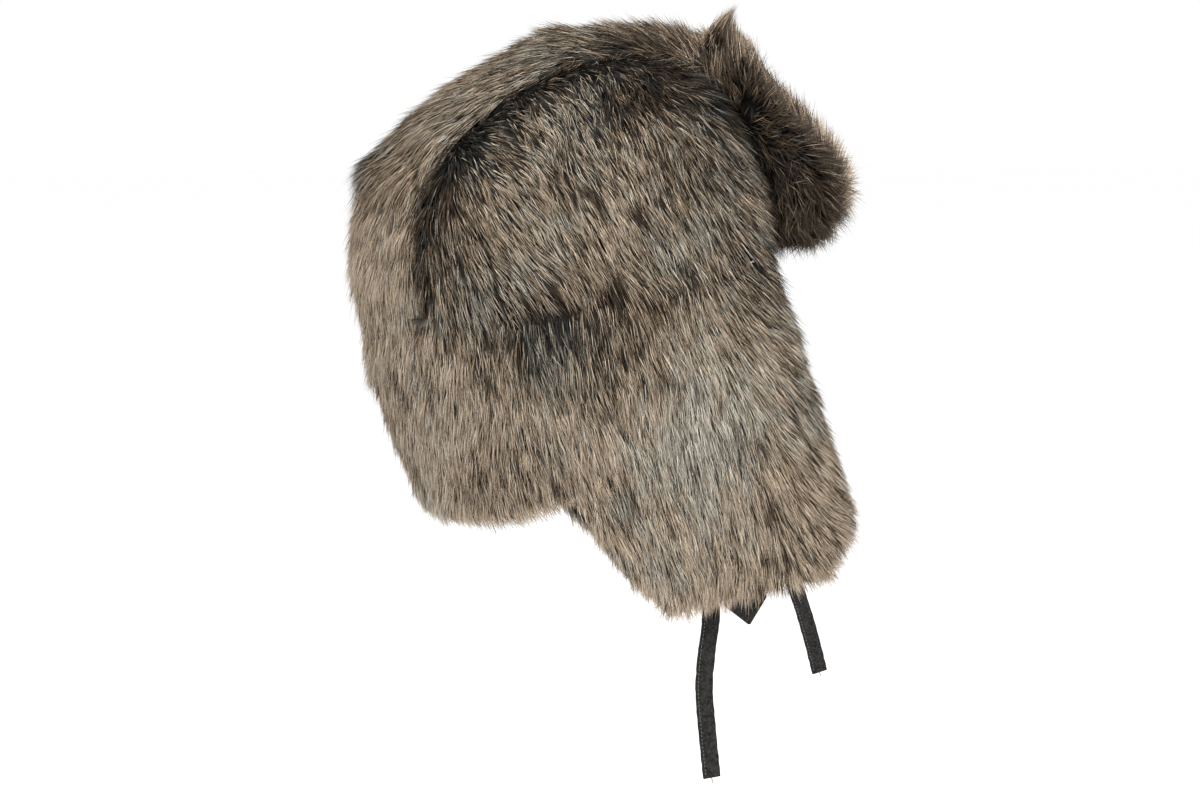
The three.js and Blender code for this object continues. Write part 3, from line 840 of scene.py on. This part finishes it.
def hair_routes(kind, panel, count, rng, sheet=None):
    """Root, bend and tip of every hair of a panel in millimetres, with its tone and warmth."""
    if sheet:
        u, v, root, normal, height = visor_roots(sheet, count, rng)
        rise = np.clip(0.75 + 0.35 * height, 0.45, 1)[:, None]
        upper = ease((u - 0.45) / 0.25) * (height > 0.5) + ease((0.4 - u) / 0.2)
        rise *= (1 - 0.7 * ease((0.38 - u) / 0.25))[:, None]
        rise *= (1 - 0.6 * ease((u - 0.8) / 0.15))[:, None]
    else:
        u, v, root, normal = panel_roots(panel, count, rng)
        rise = edge_rise(panel, u, v)[:, None]
        upper = 0 * u
    middle, key = lock_of(root, LOCK_SIZE)
    lie = lie_of_fur(kind, panel, u, v, panel["surface"](np.clip(u, *panel["u"]), v), normal, root)
    swirl = 9 * grain(root, 30.0, 21) + 7 * grain(root, 11.0, 22)
    swirl += 14 * (lock_random(key, 1) - 0.5) + 6 * rng.standard_normal(count)
    hem = ease((-root[:, 2] - HEM_START[kind]) / 30) if kind in HEM_START else 0 * u
    swirl += hem * (24 * (lock_random(key, 5) - 0.5) + 9 * grain(root, 8.0, 23))
    ruffle = 0 * u
    if kind in ("crown_strip", "side_panel"):
        # The fur is ruffled where the crown runs under the visor.
        far = (root - [0, -72, 118]) / [90, 38, 24]
        ruffle = np.exp(-(far * far * [0, 1, 1]).sum(-1))
        swirl += ruffle * (60 * (lock_random(key, 8) - 0.5) + 24 * rng.standard_normal(count))
    if kind == "visor_flap":
        end = ease((np.abs(v) - 0.75) / 0.2)
        swirl += end * (50 * (lock_random(key, 8) - 0.5) + 16 * rng.standard_normal(count))
    lie = turned(lie, normal, np.radians(swirl))
    reach = panel["length"] * (0.8 + 0.35 * rng.random((count, 1)))
    reach = reach * (0.9 + 0.2 * lock_random(key, 3)[:, None])
    reach = reach * (0.6 + 0.4 * rise) * (1 + 0.4 * hem * (lock_random(key, 6) - 0.6))[:, None]
    wild = 5 * rng.standard_normal(count) + 6 * (lock_random(key, 2) - 0.5)
    wild += 16 * ruffle - 14 * upper
    if kind == "visor_flap":
        wild += 14 * end
        reach = reach * (1 - 0.4 * ease((u - 0.76) / 0.16))[:, None]
    if kind == "side_panel":
        near, show = seam_distance(root)
        wild += 16 * np.exp(-((near / 14) ** 2)) * show
    if kind == "ear_flap":
        wild += 10 * ease((v - 0.86) / 0.1)
    first = np.radians(panel["lean"][0] + wild)[:, None]
    last = np.radians(panel["lean"][1] + wild + 4 * rng.standard_normal(count))[:, None]
    root = root - normal * ROOT_DEPTH
    bend = root + (lie * np.cos(first) + normal * np.sin(first)) * reach * HAIR_BEND
    tip = bend + (lie * np.cos(last) + normal * np.sin(last)) * reach * (1 - HAIR_BEND)
    # Tips of one lock draw together.
    pull = middle - root
    pull -= normal * (pull * normal).sum(-1, keepdims=True)
    draw = 0.22 + 0.2 * rng.random((count, 1))
    bend = bend + pull * draw * 0.35
    tip = tip + pull * draw
    if kind == "visor_flap":
        # The fur of both upper corners gathers to a tuft.
        corner = ease((u - 0.72) / 0.25) * ease((np.abs(v) - 0.45) / 0.4)
        side = np.where(v < 0, -1.0, 1.0)
        goal = np.stack([side * 45, 4 * side - 97, 137 - 10 * side], -1)
        goal += 2 * rng.standard_normal((count, 3))
        tip = tip + (goal - tip) * (0.92 * corner * rng.random(count) ** 0.45)[:, None]
    tone, warm = coat_tone(kind, root)
    tone = hair_tone(tone + 0.18 * (lock_random(key, 4) - 0.5), rng)
    warm = (warm + 0.4 * (lock_random(key, 7) - 0.5) + 0.18 * rng.standard_normal(count)) > 0.5
    return root, bend, tip, normal, tone, warm


def hair_mesh(name, root, bend, tip, normal, tone, warm):
    """One mesh of closed hairs, each a slim spindle with a bend, with the fur's map on it."""
    n = len(root)
    verts = np.empty((n, 5, 3))
    along = unit(tip - root)
    across = unit(np.cross(along, normal))
    third = np.cross(along, across)
    verts[:, 0] = root
    for k in range(3):
        turn = math.radians(90 + 120 * k)
        verts[:, 1 + k] = bend + (across * math.cos(turn) + third * math.sin(turn)) * HAIR_RADIUS
    verts[:, 4] = tip
    faces = np.array([(0, 2, 1), (0, 3, 2), (0, 1, 3), (1, 2, 4), (2, 3, 4), (3, 1, 4)])
    index = (np.arange(n)[:, None, None] * 5 + faces[None]).reshape(-1)
    mesh = bpy.data.meshes.new(name)
    mesh.vertices.add(n * 5)
    mesh.vertices.foreach_set("co", worn(verts.reshape(-1, 3)).ravel())
    mesh.loops.add(len(index))
    mesh.loops.foreach_set("vertex_index", index.astype(np.int32))
    mesh.polygons.add(n * 6)
    mesh.polygons.foreach_set("loop_start", np.arange(0, n * 18, 3, dtype=np.int32))
    mesh.polygons.foreach_set("use_smooth", np.ones(n * 6, bool))
    uv_u = (tone[:, None] + np.array([0.0, -0.012, 0.012, 0.0, 0.004])) / 2
    uv_u = np.clip(uv_u, *TONE_SPAN) + 0.5 * warm[:, None]
    uv_v = np.array([0.02, 0.5, 0.5, 0.51, 0.99])
    pairs = np.stack([uv_u, np.broadcast_to(uv_v, uv_u.shape)], -1).reshape(-1, 2)
    layer = mesh.uv_layers.new(name="OFBake")
    layer.data.foreach_set("uv", pairs[index].ravel())
    mesh.update(calc_edges=True)
    ob = bpy.data.objects.new(name, mesh)
    bpy.context.collection.objects.link(ob)
    return ob


def underfur_map(mesh, kind, rng):
    """The fur's map on the underfur: tone from its place, and a height near the root."""
    for layer in list(mesh.uv_layers):
        mesh.uv_layers.remove(layer)
    tone = coat_tone(kind, tilted(coordinates(mesh) / MM, HEAD_TILT))[0]
    tone = np.clip(0.7 * tone + 0.08 * rng.standard_normal(len(tone)), 0.05, 0.95)
    # Low on the root-to-tip ramp, the underfur is dark: darker roots with painted shade deep in
    # the pile.
    height = np.clip(0.24 + 0.07 * rng.standard_normal(len(tone)), 0.08, 0.4)
    uv = np.stack([np.clip(tone / 2, *TONE_SPAN), height], -1)
    loops = np.empty(len(mesh.loops), np.int32)
    mesh.loops.foreach_get("vertex_index", loops)
    layer = mesh.uv_layers.new(name="OFBake")
    layer.data.foreach_set("uv", uv[loops].ravel())


def visor_sheet(name):
    """The visor's underfur: a cube cut finely and laid round the pelt, with its triangles."""
    ob = primitive(name, bpy.ops.mesh.primitive_cube_add, size=2)
    edit_all()
    bpy.ops.mesh.subdivide(number_cuts=23)
    bpy.ops.object.mode_set(mode="OBJECT")
    points, *extra = visor_cushion(*coordinates(ob.data).T)
    lay(ob, worn(points))
    turn_faces_out()
    bpy.ops.object.shade_smooth()
    mesh = ob.data
    mesh.calc_loop_triangles()
    tris = np.empty(len(mesh.loop_triangles) * 3, np.int32)
    mesh.loop_triangles.foreach_get("vertices", tris)
    tris = tris.reshape(-1, 3)
    normals = tilted(np.array([n.vector[:] for n in mesh.vertex_normals]), HEAD_TILT)
    return ob, (points[tris], normals[tris], np.stack(extra, -1)[tris])


def fur_piece(kind, node, mirrored, material, seed, share):
    """The pile of one panel: underfur with its hairs joined on."""
    panel = PANELS[kind]
    rng = np.random.default_rng(seed)
    name, sheet = node + "_fur", None
    if kind == "visor_flap":
        ob, sheet = visor_sheet(name)
    else:
        top = lambda u, v: underfur_point(panel, u, v)
        ob = grid_on(name, top, panel["grid"], panel["u"], panel["v"], mirrored)
        face_outwards(ob, UNDERFUR_SKIN)
    underfur_map(ob.data, kind, rng)
    routes = hair_routes(kind, panel, int(panel["hairs"] * share), rng, sheet)
    if mirrored:
        for places in routes[:4]:
            places[:, 0] *= -1
    hairs = hair_mesh(node + "_hairs", *routes)
    for piece in (ob, hairs):
        piece.data.materials.clear()
        piece.data.materials.append(material)
    fresh_selection()
    hairs.select_set(True)
    ob.select_set(True)
    bpy.context.view_layer.objects.active = ob
    bpy.ops.object.join()
    ride_and_replace(ob, node + "_pile")


# Properties
class HatFurSettings(bpy.types.PropertyGroup):
    """The coat."""

    density: bpy.props.FloatProperty(
        name="Density", description="Share of the full number of hairs", default=1.0,
        min=0.05, max=1.0, subtype="FACTOR",
    )
    seed: bpy.props.IntProperty(
        name="Seed", description="First number of the hairs' random draws", default=FIRST_SEED,
    )


class HatLeatherSettings(bpy.types.PropertyGroup):
    """Ties and tabs."""

    dark: bpy.props.FloatVectorProperty(
        name="Dark", description="Darkest leather colour", size=3, subtype="COLOR",
        default=(0.0028, 0.0026, 0.0025),
    )
    light: bpy.props.FloatVectorProperty(
        name="Worn", description="Colour of the worn nap", size=3, subtype="COLOR",
        default=(0.034, 0.0325, 0.0305),
    )


class HatStudioSettings(bpy.types.PropertyGroup):
    """Camera and light."""

    azimuth: bpy.props.FloatProperty(
        name="Azimuth", description="Camera's turn round the hat from its front",
        default=math.radians(-102), subtype="ANGLE", unit="ROTATION",
    )
    elevation: bpy.props.FloatProperty(
        name="Elevation", description="Camera's height over the band", default=math.radians(9),
        subtype="ANGLE", unit="ROTATION",
    )
    distance: bpy.props.FloatProperty(
        name="Distance", description="Camera to the middle of the band", default=1.05,
        subtype="DISTANCE", unit="LENGTH",
    )
    lens: bpy.props.FloatProperty(name="Lens", description="Focal length in mm", default=56.0)
    floor_z: bpy.props.FloatProperty(
        name="Floor", description="Height of the pale floor", default=-0.62,
        subtype="DISTANCE", unit="LENGTH",
    )


# Operators
IMAGE_SIZE = (1200, 800)
BAND_PIXEL = (583, 300)  # where the middle of the band shows
SENSOR = 36.0
FLOOR_SIZE = 40
LAMP_DISTANCE = 1.5


class HAT_OT_studio(bpy.types.Operator):
    """Set up the camera, the pale floor and soft light"""

    bl_idname = "hat.studio"
    bl_label = "Studio"

    def execute(self, context):
        studio = context.scene.hat_studio
        a, e = studio.azimuth, studio.elevation
        back = Vector((math.sin(a) * math.cos(e), -math.cos(a) * math.cos(e), math.sin(e)))
        right = Vector((math.cos(a), math.sin(a), 0))
        up = back.cross(right)
        pixels = studio.lens / SENSOR * IMAGE_SIZE[0]
        across = (BAND_PIXEL[0] - IMAGE_SIZE[0] / 2) / pixels
        down = (BAND_PIXEL[1] - IMAGE_SIZE[1] / 2) / pixels
        place = studio.distance * (back - across * right + down * up)
        data = bpy.data.cameras.new("camera")
        data.lens = studio.lens
        data.sensor_width = SENSOR
        camera = bpy.data.objects.new("camera", data)
        turn = Matrix((right, up, back)).transposed().to_4x4()
        camera.matrix_world = Matrix.Translation(place) @ turn
        context.collection.objects.link(camera)
        context.scene.camera = camera
        add = bpy.ops.mesh.primitive_plane_add
        floor = primitive("floor", add, size=FLOOR_SIZE, location=(0, 0, studio.floor_z))
        mat, tree, shader = new_material("floor", 0.9, 0.1)
        feed(tree, shader.inputs["Base Color"], (0.997, 0.997, 0.997))
        floor.data.materials.append(mat)
        world = bpy.data.worlds.new("studio")
        world.use_nodes = True
        sky = world.node_tree.nodes["Background"].inputs
        sky["Color"].default_value = (1, 1, 1, 1)
        sky["Strength"].default_value = 1.0
        context.scene.world = world
        context.scene.view_settings.view_transform = "Standard"
        middle = Vector((0, 0, -0.02))
        for name, towards, size, power in (
            ("key", (-0.75, -0.35, 0.95), 1.0, 26),
            ("fill", (-0.9, 0.9, 0.3), 1.2, 7),
            ("top", (0.2, -0.2, 1.4), 1.2, 12),
        ):
            lamp = bpy.data.lights.new(name, "AREA")
            lamp.size = size
            lamp.energy = power
            ob = bpy.data.objects.new(name, lamp)
            ob.location = middle + Vector(towards).normalized() * LAMP_DISTANCE
            ob.rotation_euler = (ob.location - middle).to_track_quat("Z", "Y").to_euler()
            context.collection.objects.link(ob)
        return {"FINISHED"}


def smooth_route(points, steps):
    """Evenly spaced points on a smooth curve through a route's points, and its length."""
    rows = table("x y z", *points)
    fine = np.stack([column(rows, k, np.linspace(0, 1, 400)) for k in "xyz"], -1)
    lengths = np.concatenate([[0], np.cumsum(np.linalg.norm(np.diff(fine, axis=0), axis=1))])
    at = np.linspace(0, lengths[-1], steps + 1)
    return np.stack([np.interp(at, lengths, fine[:, k]) for k in range(3)], -1), lengths[-1]


def strap(name, route):
    """A flat strap along a route: a bevelled bar, cut across, then laid on the route."""
    ob = primitive(name, bpy.ops.mesh.primitive_cube_add, size=1)
    edit_all()
    bpy.ops.transform.resize(value=(TIE_THICK, TIE_WIDTH, TIE_STEPS))
    for k in range(1, TIE_STEPS):
        bpy.ops.mesh.select_all(action="SELECT")
        bpy.ops.mesh.bisect(plane_co=(0, 0, k - TIE_STEPS / 2), plane_no=(0, 0, 1))

    def is_corner(edge):
        a, b = (v.co for v in edge.verts)
        upright = abs(a.z - b.z) > 0.5
        return upright and abs(a.x) > 0.4 * TIE_THICK and abs(a.y) > 0.4 * TIE_WIDTH

    pick(ob, "EDGE", is_corner)
    bpy.ops.mesh.bevel(offset=0.6, segments=3, affect="EDGES")
    bpy.ops.object.mode_set(mode="OBJECT")
    points, length = smooth_route(route, TIE_STEPS)
    side = unit(np.cross(unit(np.gradient(points, axis=0)), [1.0, 0, 0]))
    co = coordinates(ob.data)
    at = np.clip(np.round(co[:, 2] + TIE_STEPS / 2).astype(int), 0, TIE_STEPS)
    ragged = 1 + 0.025 * np.random.default_rng(7).standard_normal(TIE_STEPS + 1)
    laid = points[at] + side[at] * (co[:, 1] * ragged[at])[:, None]
    laid[:, 0] += co[:, 0]
    lay(ob, laid * MM)
    turn_faces_out()
    bpy.ops.object.shade_smooth_by_angle(angle=LEATHER_EDGE)
    return ob, points, side, length


def stitches(name, points, side):
    """A row of small thread stitches along a strap's near edge, standing on its outer face."""
    rng = np.random.default_rng(31)
    gaps = np.linalg.norm(np.diff(points, axis=0), axis=1)
    along = np.concatenate([[0], np.cumsum(gaps)])
    on = lambda curve, at: np.array([np.interp(at, along, curve[:, k]) for k in range(3)])
    parts = []
    for at in np.arange(3.0, along[-1] - 2.0, STITCH_SPACING):
        way = unit(on(points, at + 0.5) - on(points, at))
        across = on(side, at)
        middle = on(points, at) + across * STITCH_PLACE
        parts.append((middle, way, across, STITCH_SPACING * 0.33, 0.17))
    # The sewing thread's loose end hangs out of the cut.
    end = unit(points[-1] - points[-2])
    face = np.array([-TIE_THICK / 2, 0, 0])
    parts.append((points[-1] + end * 1.6 - face, end + 0.1 * side[-1], side[-1], 2.6, 0.3))
    ob = primitive(name, bpy.ops.mesh.primitive_uv_sphere_add, segments=8, ring_count=6, radius=1)
    ball = coordinates(ob.data)
    rounds = [tuple(face.vertices) for face in ob.data.polygons]
    verts, faces = [], []
    for number, (middle, way, across, half, thick) in enumerate(parts):
        axis = unit(way + across * rng.uniform(-0.12, 0.12))
        verts.append(
            middle + ball[:, 2:3] * axis * half + ball[:, 1:2] * across * thick
            + ball[:, 0:1] * np.array([thick, 0, 0]) + face
        )
        faces += [tuple(i + number * len(ball) for i in corners) for corners in rounds]
    mesh = bpy.data.meshes.new(name)
    mesh.from_pydata((np.concatenate(verts) * MM).tolist(), [], faces)
    mesh.update()
    ob.data = mesh
    turn_faces_out()
    bpy.ops.object.shade_smooth()
    return ob


class HAT_OT_ties(bpy.types.Operator):
    """Lay the two leather ties on their routes and sew their edge stitching"""

    bl_idname = "hat.ties"
    bl_label = "Ties"

    def execute(self, context):
        look = context.scene.hat_leather
        suede = leather_material("suede", tuple(look.dark), tuple(look.light), 0.85)
        thread, tree, shader = new_material("thread", 0.7, 0.3)
        feed(tree, shader.inputs["Base Color"], (0.13, 0.125, 0.115))
        for node, route in (("tie_right", TIE_RIGHT_ROUTE), ("tie_left", TIE_LEFT_ROUTE)):
            tie, points, side, length = strap(node + "_strap", route)
            tie.data.materials.append(suede)
            ride_and_replace(tie, node)
            sewing = stitches(node + "_stitches", points, side)
            sewing.data.materials.append(thread)
            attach(sewing, "root")
        return {"FINISHED"}


class HAT_OT_tabs(bpy.types.Operator):
    """Cut the pointed leather tabs inside the ear flaps' hems"""

    bl_idname = "hat.tabs"
    bl_label = "Tabs"

    def execute(self, context):
        look = context.scene.hat_leather
        leather = leather_material("tab_leather", tuple(look.dark), tuple(look.light), 0.6)
        for node, side in (("tab_right", -1), ("tab_left", 1)):
            ob = primitive(node + "_leather", bpy.ops.mesh.primitive_cube_add, size=1)
            edit_all()
            bpy.ops.transform.resize(value=TAB_SIZE)
            bpy.ops.transform.translate(value=(0, 0, sum(TAB_POINT) + TAB_SIZE[2] / 2))
            pick(ob, "FACE", lambda face: face.normal.z < -0.9)
            for drop, share in zip(TAB_POINT, TAB_TAPER):
                bpy.ops.mesh.extrude_region_move(TRANSFORM_OT_translate=dict(value=(0, 0, -drop)))
                bpy.ops.transform.resize(value=(1, share, 1))
            bpy.ops.mesh.select_all(action="SELECT")
            bpy.ops.mesh.bevel(offset=0.35, segments=2, affect="EDGES", clamp_overlap=True)
            turn_faces_out()
            lay(ob, worn(coordinates(ob.data) + np.array(TAB_PLACE) * [side, 1, 1]))
            bpy.ops.object.shade_smooth_by_angle(angle=LEATHER_EDGE)
            ob.data.materials.append(leather)
            ride_and_replace(ob, node)
        return {"FINISHED"}


def pieces_of(kind):
    """Node names of a panel kind with whether each is the mirrored, right one."""
    if PANELS[kind]["sides"] == (0,):
        return [(kind, False)]
    return [(kind + "_left", False), (kind + "_right", True)]


PELT_TRIMS = dict(ear_flap=(0.02, 0.03), nape_flap=(0.02, 0))  # cut off at the hem and the face


class HAT_OT_pelts(bpy.types.Operator):
    """Lay the pelts with their lining"""

    bl_idname = "hat.pelts"
    bl_label = "Pelts"

    def execute(self, context):
        lining = lining_material()
        for kind, panel in PANELS.items():
            u_cut, v_cut = PELT_TRIMS.get(kind, (0, 0))
            u = (panel["u"][0], panel["u"][1] - u_cut)
            v = (panel["v"][0], panel["v"][1] - v_cut)
            # The pelt keeps back from an ear flap's free rear edge, which the fur covers.
            back = 0.035 if kind == "ear_flap" else 0
            inset = lambda a, b: b + back * (1 - b) * ease((a - 0.5) / 0.15)
            place = lambda a, b: skin_point(panel, a, inset(a, b))
            for node, mirrored in pieces_of(kind):
                ob = grid_on(node + "_pelt", place, (18, 18), u, v, mirrored)
                face_outwards(ob, WALL)
                ob.data.materials.append(lining)
                ride_and_replace(ob, node)
        return {"FINISHED"}


class HAT_OT_fur(bpy.types.Operator):
    """Grow the fur on every panel"""

    bl_idname = "hat.fur"
    bl_label = "Fur"

    def execute(self, context):
        coat = context.scene.hat_fur
        material = fur_material()
        share = coat.density * 1.0
        number = coat.seed
        for kind in PANELS:
            for node, mirrored in pieces_of(kind):
                fur_piece(kind, node, mirrored, material, number, share)
                number += 1
        return {"FINISHED"}


class HAT_PT_panel(bpy.types.Panel):
    """The hat's steps and settings"""

    bl_idname = "HAT_PT_panel"
    bl_label = "Trapper Hat"
    bl_space_type = "VIEW_3D"
    bl_region_type = "UI"
    bl_category = "Trapper Hat"

    def draw(self, context):
        layout = self.layout
        for group in (context.scene.hat_fur, context.scene.hat_leather, context.scene.hat_studio):
            box = layout.box()
            for name in group.bl_rna.properties.keys():
                if name not in ("rna_type", "name"):
                    box.prop(group, name)
        for step in STEPS:
            layout.operator(step.bl_idname)


SETTINGS = {
    "hat_fur": HatFurSettings, "hat_leather": HatLeatherSettings, "hat_studio": HatStudioSettings,
}
STEPS = (HAT_OT_studio, HAT_OT_ties, HAT_OT_tabs, HAT_OT_pelts, HAT_OT_fur)


def register():
    for cls in (*SETTINGS.values(), *STEPS, HAT_PT_panel):
        bpy.utils.register_class(cls)
    for name, cls in SETTINGS.items():
        setattr(bpy.types.Scene, name, bpy.props.PointerProperty(type=cls))


def unregister():
    for name in SETTINGS:
        delattr(bpy.types.Scene, name)
    for cls in reversed((*SETTINGS.values(), *STEPS, HAT_PT_panel)):
        bpy.utils.unregister_class(cls)


def main():
    register()
    bpy.ops.hat.studio()
    bpy.ops.hat.ties()
    bpy.ops.hat.tabs()
    bpy.ops.hat.pelts()
    bpy.ops.hat.fur()


if __name__ == "__main__":
    main()
